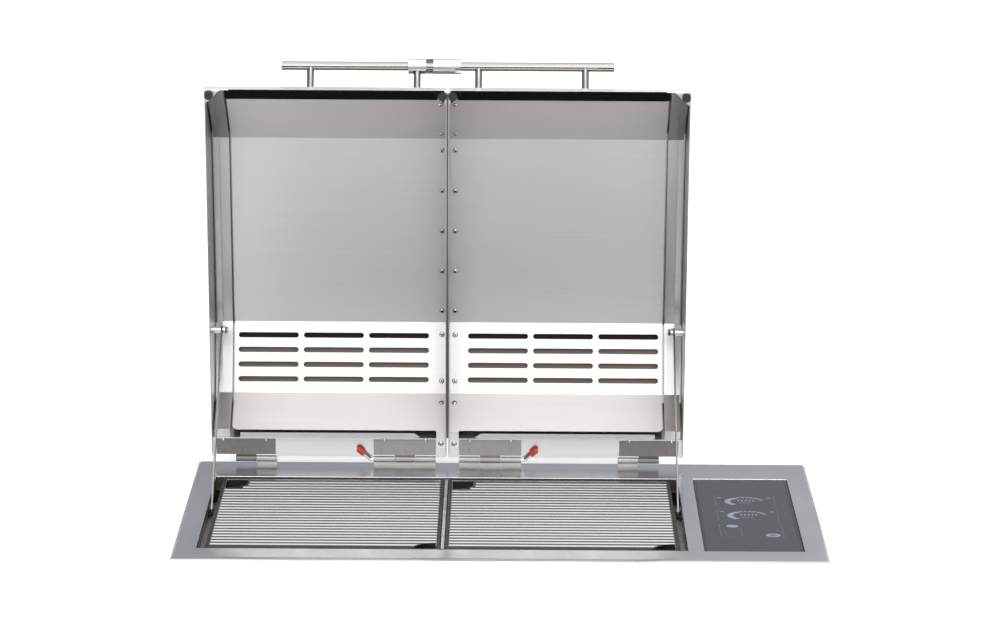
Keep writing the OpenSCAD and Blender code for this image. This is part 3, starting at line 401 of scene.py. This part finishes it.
def patch(shape, corners):
    """A flat patch of ink with an outline."""
    loft(shape, [[(x, y, z) for x, y in corners] for z in (ink_low, ink_high)])


def arc(x, y, radius, start, end, steps):
    """Points on an arc between two angles in degrees."""
    turn = [math.radians(start + (end - start) * k / steps) for k in range(steps + 1)]
    return [(x + radius * math.cos(t), y + radius * math.sin(t)) for t in turn]


def rounded(x0, y0, x1, y1, radius):
    """Outline of a box with round corners."""
    left, right, front, back = x0 + radius, x1 - radius, y0 + radius, y1 - radius
    corners = ((right, back), (left, back), (left, front), (right, front))
    return [
        point for k, (x, y) in enumerate(corners)
        for point in arc(x, y, radius, 90 * k, 90 * k + 90, 5)
    ]


def outline(shape, outer, inner):
    """A closed line of ink between two outlines with as many points."""
    for k in range(len(outer)):
        n = (k + 1) % len(outer)
        patch(shape, [outer[k], outer[n], inner[n], inner[k]])


def framed(shape, x0, y0, x1, y1, radius):
    """A thin frame with round corners."""
    outline(shape, rounded(x0, y0, x1, y1, radius), rounded(
        x0 + ink_line, y0 + ink_line, x1 - ink_line, y1 - ink_line, radius - ink_line))


def row(shape, count, x, y, step, width, depth, radius):
    """Equal marks with round corners in a row, from the front left corner of the first."""
    for k in range(count):
        left = x + k * step
        patch(shape, rounded(left, y, left + width, y + depth, radius))


border = bmesh.new()
bare_rim, border_mm = 0.6, 3.5
outline(
    border,
    rounded(glass_low.x + bare_rim, glass_low.y + bare_rim, glass_high.x - bare_rim,
            glass_high.y - bare_rim, 3),
    rounded(glass_low.x + border_mm, glass_low.y + border_mm / 2, glass_high.x - border_mm,
            glass_high.y - border_mm, 2),
)
frit = fired_ink("fired black frit", "#17181b", "#101113")
piece("glass_border", border, frit, "base")

marks, frames = bmesh.new(), bmesh.new()
dial_x, dial_radius = 301.2, 25
for dial_y in (52, -26.4):
    patch(marks, arc(dial_x, dial_y, dial_radius, 232, 118, 24)
          + arc(dial_x + 1, dial_y, dial_radius - 6, 118, 232, 24))
    for start in range(114, 16, -14):
        patch(marks, arc(dial_x, dial_y, dial_radius, start, start - 10, 4)
              + arc(dial_x, dial_y, dial_radius - 4.5, start - 10, start, 4))
    row(marks, 5, dial_x - 9, dial_y + 2, 4.6, 2.6, 6, 0.6)
    row(marks, 3, dial_x - 7, dial_y - 9, 5, 3.4, 2, 0.5)
    row(marks, 2, dial_x - 33, dial_y + 20, 61, 5, 3, 0.5)
    framed(frames, dial_x - 37, dial_y - 33, dial_x + 37, dial_y + 33, 5)
patch(marks, arc(279.8, -84.2, 7.5, 0, full_turn, turn_steps))
outline(marks, *(arc(327, -132.2, radius, 0, full_turn, turn_steps) for radius in (9, 4.6)))
row(marks, 3, 324, -134.5, 2.2, 1.4, 4.6, 0.4)
framed(frames, 264, -145, 340, -72, 5)
framed(frames, 269.5, -139, 290, -95, 4)
pale_ink = fired_ink("fired pale ink", "#8f98a4", "#838c98")
grey_ink = fired_ink("fired grey ink", "#5d646f", "#535a65")
piece("glass_icons", marks, pale_ink, "base")
piece("glass_frames", frames, grey_ink, "base")


# Hinges: stainless leaves with rolled knuckles on a fixed pin. The base leaves are screwed to the
# plate from below, the lid leaves are riveted on. All are bead-blasted to a soft warm grey; the
# outer lid leaves and their rivets get a darker copy of that steel, as painted shade.
leaf_steel = mill_stainless("bead-blasted stainless base leaf", "#a29e9b", "#96928f", 0.36)
blasted_steel = mill_stainless("bead-blasted stainless leaf", "#94908e", "#888482", 0.38)
# Painted shade: a darker copy of the lid leaf steel, for the outer leaves and their rivets.
shaded_leaf_steel = mill_stainless("bead-blasted stainless leaf in painted shade", "#787472", "#6c6866", 0.38)
dress(leaf_steel, [
    "hinge_base_outer_left", "hinge_base_inner_left", "hinge_base_outer_right",
    "hinge_base_inner_right", "hinge_pin_outer_left", "hinge_pin_outer_right",
], 0.25)
dress(blasted_steel, ["hinge_leaf_inner_left", "hinge_leaf_inner_right"], 0.25)
dress(shaded_leaf_steel, ["hinge_leaf_outer_left", "hinge_leaf_outer_right"], 0.25)


# Leaf fixings: three flush rivets through each lid leaf, ground nearly level, and two bright tack
# welds over its front edge.
lids = ((-1, "left"), (1, "right"))
split_x, hinge_y, hinge_z = -0.069, 0.245, 0.1175
axis_above_rim = 6
opened = math.radians(76)


def on_lid(side):
    """A lid's own place in mm: x from the split, y back from the hinge line, z up from the rim."""
    return (
        Matrix.Translation((split_x, hinge_y, hinge_z)) @ Matrix.Rotation(-opened, 4, "X")
        @ Matrix.Diagonal((side / 1000, 0.001, 0.001, 1))
        @ Matrix.Translation((0, 0, -axis_above_rim))
    )


def standing(x, u, w, facing):
    """A place on a lid, u forward of the hinge and w up from the rim, its z axis along facing."""
    z_axis = Vector((facing[0], -facing[1], facing[2])).normalized()
    x_axis = Vector((1, 0, 0)) if abs(z_axis.x) < 0.9 else Vector((0, 1, 0))
    y_axis = z_axis.cross(x_axis).normalized()
    x_axis = y_axis.cross(z_axis)
    return Matrix.Translation((x, -u, w)) @ Matrix((x_axis, y_axis, z_axis)).transposed().to_4x4()


def turned(shape, place, profile, steps=18):
    """Adds a turned form: a profile of radius, height and flats (0 for round), in mm."""
    rings = []
    for radius, height, flats in profile:
        ring = []
        for k in range(steps if radius else 1):
            turn = 2 * math.pi * k / steps
            reach = radius
            if flats:
                half = math.pi / flats
                reach = radius / math.cos(turn % (2 * half) - half)
            point = Vector((reach * math.cos(turn), reach * math.sin(turn), height))
            ring.append(shape.verts.new(place @ point))
        rings.append(ring)
    for low, high in zip(rings, rings[1:]):
        for k in range(steps):
            pairs = ((low, k), (low, k + 1), (high, k + 1), (high, k))
            around = [ring[n % len(ring)] for ring, n in pairs]
            shape.faces.new(list(dict.fromkeys(around)))


def lid_piece(name, hand, shape, finish):
    """A new piece that rides on one of the lids."""
    return piece(name + "_" + hand, shape, finish, "lid_" + hand)


rivet = [(0, -0.3, 0), (3.4, -0.3, 0), (3.3, 0.12, 0), (2.3, 0.3, 0), (0, 0.36, 0)]
tack = [(0, -0.8, 0), (1.9, -0.8, 0), (1.8, 0.2, 0), (1.1, 0.7, 0), (0, 0.85, 0)]
rivet_rows = (("inner", blasted_steel, (81.9, 52, 29.7)),
              ("outer", shaded_leaf_steel, (281.2, 259.1, 236.4)))
tack_row = (80.5, 28.3, 285.3, 231.3)
rivet_u, rivet_w, tack_u, tack_w = 12.5, 7.12, 25.8, 7.4
tack_steel = mill_stainless("tack-welded stainless", "#e3e2df", "#c9c8c6", 0.22)
for side, hand in lids:
    for leaf, finish, spots in rivet_rows:
        rivets = bmesh.new()
        for x in spots:
            turned(rivets, on_lid(side) @ standing(x, rivet_u, rivet_w, (0, 0, -1)), rivet)
        lid_piece("leaf_rivets_" + leaf, hand, rivets, finish)
    tacks = bmesh.new()
    for x in tack_row:
        turned(tacks, on_lid(side) @ standing(x, tack_u, tack_w, (0, 0, -1)), tack, 12)
    lid_piece("leaf_tacks", hand, tacks, tack_steel)


# Lid shells and liners: brushed stainless sheet. The liner is bent from one thin sheet and screwed
# to the shell along the split. The front lip of a shell is painted near white, a painted highlight.
# Its inside behind the liner is painted brown, partly heat tint and partly painted shade, and near
# black higher up as painted shade; it shows dark through the vent slots.
def paint_highlight_and_shade(finish):
    """Paints a highlight on the lip of a shell, and heat tint with painted shade behind the liner.
    """
    lip_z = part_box("lid_shell_left")[1].z - 0.005
    liner_near, liner_far, liner_foot = 0.004, 0.27, 0.19
    shade_low, shade_high = 0.254, 0.26
    tree = finish.node_tree
    shader = next(node for node in tree.nodes if node.type == "BSDF_PRINCIPLED")
    sheet = shader.inputs["Base Color"].links[0].from_socket
    here = add(tree, "TexCoord")
    place = add(tree, "SeparateXYZ", {"Vector": here.outputs["Object"]})
    turn = add(tree, "SeparateXYZ", {"Vector": here.outputs["Normal"]})
    # Painted highlight: the top half millimetre of the shell, its front lip, is painted near white.
    lip_highlight = add(tree, "MapRange", {
        "Value": place.outputs["Z"], "From Min": lip_z, "From Max": lip_z + 0.0005,
    })
    with_painted_light = add(tree, "MixRGB", {
        "Fac": lip_highlight.outputs["Result"], "Color1": sheet, "Color2": linear("#f6f5f4"),
    })
    aside = add(tree, "Math", {0: place.outputs["X"], 1: split_x}, operation="SUBTRACT")
    out = add(tree, "Math", {0: aside.outputs[0]}, operation="ABSOLUTE")
    behind = add(tree, "Math", {
        0: out.outputs[0], 1: (liner_near + liner_far) / 2, 2: (liner_far - liner_near) / 2,
    }, operation="COMPARE")
    over = add(tree, "Math", {0: place.outputs["Z"], 1: liner_foot}, operation="GREATER_THAN")
    inward = add(tree, "Math", {0: turn.outputs["Y"], 1: -0.6}, operation="LESS_THAN")
    hidden = add(tree, "Math", {0: behind.outputs[0], 1: over.outputs[0]}, operation="MULTIPLY")
    tinted_and_shaded = add(tree, "Math", {0: hidden.outputs[0], 1: inward.outputs[0]}, operation="MULTIPLY")
    # Painted shade: inward faces behind the liner are painted brown, partly heat tint, and near
    # black higher up.
    painted_shade_band = add(tree, "MapRange", {
        "Value": place.outputs["Z"], "From Min": shade_low, "From Max": shade_high,
    })
    tint_and_shade = add(tree, "MixRGB", {
        "Fac": painted_shade_band.outputs["Result"], "Color1": linear("#554b44"), "Color2": linear("#1e1b18"),
    })
    sheet_with_painted_light = add(tree, "MixRGB", {
        "Fac": tinted_and_shaded.outputs[0], "Color1": with_painted_light.outputs["Color"],
        "Color2": tint_and_shade.outputs["Color"],
    })
    tree.links.new(sheet_with_painted_light.outputs["Color"], shader.inputs["Base Color"])


shell_steel = brushed_stainless("brushed stainless shell sheet", "#bebbb9", "#b6b3b1", 0.3)
paint_highlight_and_shade(shell_steel)
liner_steel = brushed_stainless("satin-brushed stainless liner sheet", "#e6e3e2", "#dfdcdb", 0.46)
dress(shell_steel, ["lid_shell_left", "lid_shell_right"], 0.3, 20)
dress(liner_steel, ["lid_liner_left", "lid_liner_right"], 0.2, 20)
dress(chassis_steel, ["liner_spacers_left", "liner_spacers_right"])


# Rail edges: a strip of the shell's steel beside each side rail, bent over the same five panels and
# spot-welded to it. It leaves only a narrow dark slot along the lid's outer side wall.
rail_line = [(27.75, 10), (39, 10), (62, 71), (144, 111.6), (401, 105.1), (507.1, 3.8)]
strip_thick, strip_near, strip_far = 1.2, 289.5, 296.3
strip_rings = []
for k, (u, w) in enumerate(rail_line):
    runs = [
        (Vector(rail_line[n + 1]) - Vector(rail_line[n])).normalized()
        for n in (k - 1, k) if 0 <= n < len(rail_line) - 1
    ]
    ups = [Vector((-run.y, run.x)) for run in runs]
    mitre = (ups[0] + ups[-1]) / (1 + ups[0].dot(ups[-1]))
    deep_u, deep_w = Vector((u, w)) + strip_thick * mitre
    strip_rings.append([
        (strip_near, -u, w), (strip_far, -u, w), (strip_far, -deep_u, deep_w),
        (strip_near, -deep_u, deep_w),
    ])
for side, hand in lids:
    strip = bmesh.new()
    loft(strip, strip_rings, on_lid(side))
    lid_piece("rail_edge", hand, strip, shell_steel)


# Split trim: a thin grey strip along the rim of the left lid's split wall. It fills the gap between
# the two lids, so that no light comes through; its grey stands in for the gap's shade: painted
# shade.
trim_back, trim_front, trim_low, trim_high = 32, 503, 1.5, 4.5
trim_root, trim_tip = 1.05, -0.9
trim_section = [(trim_root, trim_low), (trim_tip, trim_low), (trim_tip, trim_high),
                (trim_root, trim_high)]
gap_strip = bmesh.new()
loft(gap_strip, [[(x, -u, w) for x, w in trim_section] for u in (trim_back, trim_front)], on_lid(-1))
# Painted shade: the strip's grey stands in for the dark gap between the lids.
gap_shade_grey = moulded("grey strip as painted gap shade", "#68686c", "#5c5c60", 0.5, 1.0)
piece("split_gap_shade", gap_strip, gap_shade_grey, "lid_left")


# Front gap strips: an extruded near-black strip in the gap between each liner's front edge and the
# lip of its shell. Its matt near-black stands in for the shade deep in that gap: painted shade.
# Painted shade: near-black strip for the shade in the gap behind each shell's lip.
gap_shade_black = moulded("near-black strip as painted gap shade", "#101112", "#090a0b", 0.75, 1.0, 0.1)
gap_shade_section = [(504.4, 8.6), (488.7, 16.8), (488.7, 21.2), (493.4, 21.2)]
gap_shade_near, gap_shade_far = 12.5, 275.5
for side, hand in lids:
    gap_shade_strip = bmesh.new()
    loft(gap_shade_strip, [[(x, -u, w) for u, w in gap_shade_section] for x in (gap_shade_near, gap_shade_far)],
         on_lid(side))
    lid_piece("front_gap_shade", hand, gap_shade_strip, gap_shade_black)


# Liner screws: eleven stainless button-head screws with hexagon sockets along each lid's split,
# and a dark disc in each socket, painted shade for its depth.
liner_line = [(39, 10), (62, 71), (144, 111.6), (401, 105.1), (488, 22)]
screws_each = [1, 2, 5, 2]
screw_x, end_gap = 8.5, 16
tongue_screw = (21, 7.8, 0, -1)
head = [(3.4, -0.2, 0), (3.6, 0.3, 0), (3.2, 1.1, 0), (2.4, 1.7, 0), (1.7, 1.95, 0), (1.3, 1.9, 6),
        (1.25, 0.5, 6), (0, 0.4, 0)]
socket = [(0, 0.42, 0), (1.22, 0.42, 6), (1.22, 0.9, 6), (0, 0.95, 0)]
screw_steel = mill_stainless("cold-headed stainless", "#dddcda", "#c6c5c3", 0.2)
# Painted shade: a dark disc in each socket stands in for the shade at its bottom.
socket_shade_steel = mill_stainless("stainless painted dark as socket shade", "#2b2a29", "#1e1d1c", 0.5)
spots = [tongue_screw]
for (u0, w0), (u1, w1), count in zip(liner_line, liner_line[1:], screws_each):
    long = math.hypot(u1 - u0, w1 - w0)
    du, dw = (u1 - u0) / long, (w1 - w0) / long
    for k in range(count):
        along = long - end_gap
        if count > 1:
            along = end_gap + k * (long - 2 * end_gap) / (count - 1)
        spots.append((u0 + along * du, w0 + along * dw, dw, -du))
for side, hand in lids:
    heads, socket_shades = bmesh.new(), bmesh.new()
    for u, w, nu, nw in spots:
        place = on_lid(side) @ standing(screw_x, u, w, (0, nu, nw))
        turned(heads, place, head)
        turned(socket_shades, place, socket)
    made = lid_piece("liner_screw_heads", hand, heads, screw_steel)
    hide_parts("liner_screws_" + hand)
    lid_piece("liner_screw_socket_shades", hand, socket_shades, socket_shade_steel)


# Bumpers: turned rubber buttons screwed to the front lip of each lid, which keep the lid off the
# plate when it is shut. Matt black-grey with a faint mould grain.
dress(moulded("moulded black rubber", "#33373a", "#24272a", 0.55, 1.0), [
    "lid_bumpers_left", "lid_bumpers_right",
], 0.8)


# Handles: satin stainless tube on two posts, with a weld bead where a post meets the lid. A sleeve
# of the same steel, slotted for a post, slides over the two ends and couples the lids.
satin_steel = brushed_stainless("satin-brushed stainless tube", "#9f9d9b", "#959391", 0.14)
dress(satin_steel, ["handle_left", "handle_right"], 0.5)
sleeve_steel = mill_stainless("fine-blasted stainless sleeve", "#d2cfcd", "#c7c4c2", 0.45)
dress(sleeve_steel, ["handle_sleeve"], 0.3)
bead = [(4.5, -0.2, 0), (6.1, -0.2, 0), (5.5, 0.5, 0), (4.9, 1.0, 0), (4.5, 1.9, 0)]
post_row, post_u, post_w, post_facing = (38, 170), 499.41, 19.53, (0, 0.7255, 0.6883)
for side, hand in lids:
    beads = bmesh.new()
    for x in post_row:
        turned(beads, on_lid(side) @ standing(x, post_u, post_w, post_facing), bead, 24)
    lid_piece("post_welds", hand, beads, tack_steel)


# Stays: a polished flat strap turns on a shoulder bolt in the lid's side wall, and its other end
# carries a black nylon shoe that runs in the track. A hexagon nut holds the bolt from inside.
strap_steel = mill_stainless("rolled stainless strap", "#908e8c", "#868482", 0.3)
dress(strap_steel, ["stay_strap_left", "stay_strap_right"], 0.3)
dress(bright_steel, ["stay_bolt_left", "stay_bolt_right"], 0.3)
dress(black_nylon, ["stay_shoe_left", "stay_shoe_right"], 0.3)
nut = [(0, -0.4, 0), (5.6, -0.4, 0), (5.6, 0.5, 0), (3.9, 0.6, 0), (4.0, 0.9, 6), (4.0, 3.4, 6),
       (3.4, 3.9, 0), (2.5, 3.9, 0), (2.4, 4.6, 0), (0, 4.9, 0)]
nut_x, nut_u, nut_w = 282.8, 164, 40
for side, hand in lids:
    nuts = bmesh.new()
    turned(nuts, on_lid(side) @ standing(nut_x, nut_u, nut_w, (-1, 0, 0)), nut)
    lid_piece("stay_nut", hand, nuts, screw_steel)


# Release pins: polished stainless rods that can be drawn out of the inner hinges to take a lid off.
# The end of each carries a cap of red vinyl, dipped on and slightly glossy.
red_vinyl = moulded("dipped red vinyl", "#d8452a", "#c23a20", 0.4, 1.5)
dress(bright_steel, ["release_pin_left", "release_pin_right"])
dress(red_vinyl, ["pin_cap_left", "pin_cap_right"])


# Studio: the unit lies in a pale counter, which hides the chassis as a fitted unit does. A low soft
# box in front, a larger one above it, one overhead and a pale surround light it, a little more
# from the right.
def pale_counter():
    """Matt white laminate, lifted to white for what the camera and the mirrors see of it."""
    finish, tree, where = blank("matt white laminate")
    speck_mm = 25
    speck = add(tree, "TexNoise", {"Vector": where, "Scale": 1000 / speck_mm, "Detail": 2})
    tone = add(tree, "ValToRGB", {"Fac": speck.outputs["Fac"]}, [(0, "#ededed"), (1, "#f2f2f2")])
    path = add(tree, "LightPath")
    seen = add(tree, "Math", {0: path.outputs["Is Camera Ray"], 1: path.outputs["Is Glossy Ray"]},
               operation="MAXIMUM")
    shown = add(tree, "Math", {0: seen.outputs[0], 1: path.outputs["Is Transmission Ray"]},
                operation="MAXIMUM")
    away = add(tree, "VectorMath", {0: where}, operation="LENGTH")
    level = add(tree, "MapRange", {
        "Value": away.outputs["Value"], "From Min": 0.7, "From Max": 2.5,
        "To Min": 0.38, "To Max": 0.75,
    })
    lift = add(tree, "Math", {0: shown.outputs[0], 1: level.outputs["Result"]},
               operation="MULTIPLY")
    shade(tree, {
        "Base Color": tone.outputs["Color"], "Roughness": 0.9, "Specular IOR Level": 0,
        "Emission Color": linear("#ffffff"), "Emission Strength": lift.outputs[0],
    })
    return finish


counter_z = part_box("counter_gasket")[0].z
hole_x, hole_y, floor_x, floor_front, floor_back = 0.374, 0.256, 16, -0.8, 16
inner = [(-hole_x, -hole_y), (hole_x, -hole_y), (hole_x, hole_y), (-hole_x, hole_y)]
outer = [
    (-floor_x, floor_front), (floor_x, floor_front), (floor_x, floor_back), (-floor_x, floor_back),
]
floor_mesh = bpy.data.meshes.new("counter")
floor_mesh.from_pydata(
    [(x, y, counter_z) for x, y in inner + outer], [],
    [(i, i + 4, (i + 1) % 4 + 4, (i + 1) % 4) for i in range(4)],
)
counter = bpy.data.objects.new("counter", floor_mesh)
bpy.context.scene.collection.objects.link(counter)
floor_mesh.materials.append(pale_counter())


def soft_box(name, size, place, aim, radiance):
    """A rectangular lamp of a given brightness, turned to a point."""
    lamp = bpy.data.lights.new(name, "AREA")
    lamp.shape = "RECTANGLE"
    lamp.size, lamp.size_y = size
    lamp.energy = 4 * radiance * size[0] * size[1]
    box = bpy.data.objects.new(name, lamp)
    box.location = place
    box.rotation_euler = (Vector(aim) - Vector(place)).to_track_quat("-Z", "Y").to_euler()
    box.visible_camera = False
    bpy.context.scene.collection.objects.link(box)


open_lids = (0, 0.2, 0.45)
soft_box("front box", (8, 2.7), (0.8, -8.38, 3.16), open_lids, 3.0)
soft_box("upper box", (8, 5.5), (0.8, -6.38, 6.59), open_lids, 1.35)
soft_box("top box", (3.2, 3.0), (0.2, -0.2, 3.0), (0.2, -0.1, 0.1), 1.15)

world = bpy.data.worlds.new("studio")
bpy.context.scene.world = world
world.use_nodes = True
tree = world.node_tree
tree.nodes.clear()
way = add(tree, "SeparateXYZ", {"Vector": add(tree, "TexCoord").outputs["Generated"]})
rise = add(tree, "MapRange", {"Value": way.outputs["Z"], "From Min": -1, "From Max": 1})
fore = add(tree, "ValToRGB", {"Fac": rise.outputs["Result"]}, [(0.6, "#58585a"), (0.66, "#c8c8c8")])
rear = add(tree, "ValToRGB", {"Fac": rise.outputs["Result"]}, [
    (0.5, "#8c8e94"), (0.58, "#a6a8ae"), (0.68, "#b4b5b9"), (0.77, "#f4f4f4"), (1, "#f4f4f4"),
])
behind = add(tree, "MapRange", {"Value": way.outputs["Y"], "From Min": -0.15, "From Max": 0.15})
sweep = add(tree, "MixRGB", {
    "Fac": behind.outputs["Result"], "Color1": fore.outputs["Color"],
    "Color2": rear.outputs["Color"],
})
aside = add(tree, "MapRange", {
    "Value": way.outputs["X"], "From Min": -0.08, "From Max": 0.08, "To Min": 0.82, "To Max": 1.12,
})
lit = add(tree, "MixRGB", {
    "Fac": 1, "Color1": sweep.outputs["Color"], "Color2": aside.outputs["Result"],
}, blend_type="MULTIPLY")
path = add(tree, "LightPath")
room = add(tree, "MixRGB", {
    "Fac": path.outputs["Is Camera Ray"], "Color1": lit.outputs["Color"],
    "Color2": linear("#ffffff"),
})
sky = add(tree, "Background", {"Color": room.outputs["Color"], "Strength": 1})
add(tree, "OutputWorld", {"Surface": sky.outputs["Background"]})

camera = bpy.data.cameras.new("camera")
camera.sensor_width = 36
camera.lens = 175.1
camera.clip_end = 100
camera_place = (0.00755, -5.822, 1.42)
pitch, yaw, roll = 0.18072, -0.00175, 0.00573
forward = Vector((
    math.sin(yaw) * math.cos(pitch), math.cos(yaw) * math.cos(pitch), -math.sin(pitch),
))
level = forward.cross(Vector((0, 0, 1))).normalized()
upright = level.cross(forward)
right = math.cos(roll) * level + math.sin(roll) * upright
up = math.cos(roll) * upright - math.sin(roll) * level
stand = bpy.data.objects.new("camera", camera)
stand.matrix_world = (
    Matrix.Translation(camera_place) @ Matrix((right, up, -forward)).transposed().to_4x4()
)
bpy.context.scene.collection.objects.link(stand)
bpy.context.scene.camera = stand
bpy.context.scene.view_settings.view_transform = "Standard"
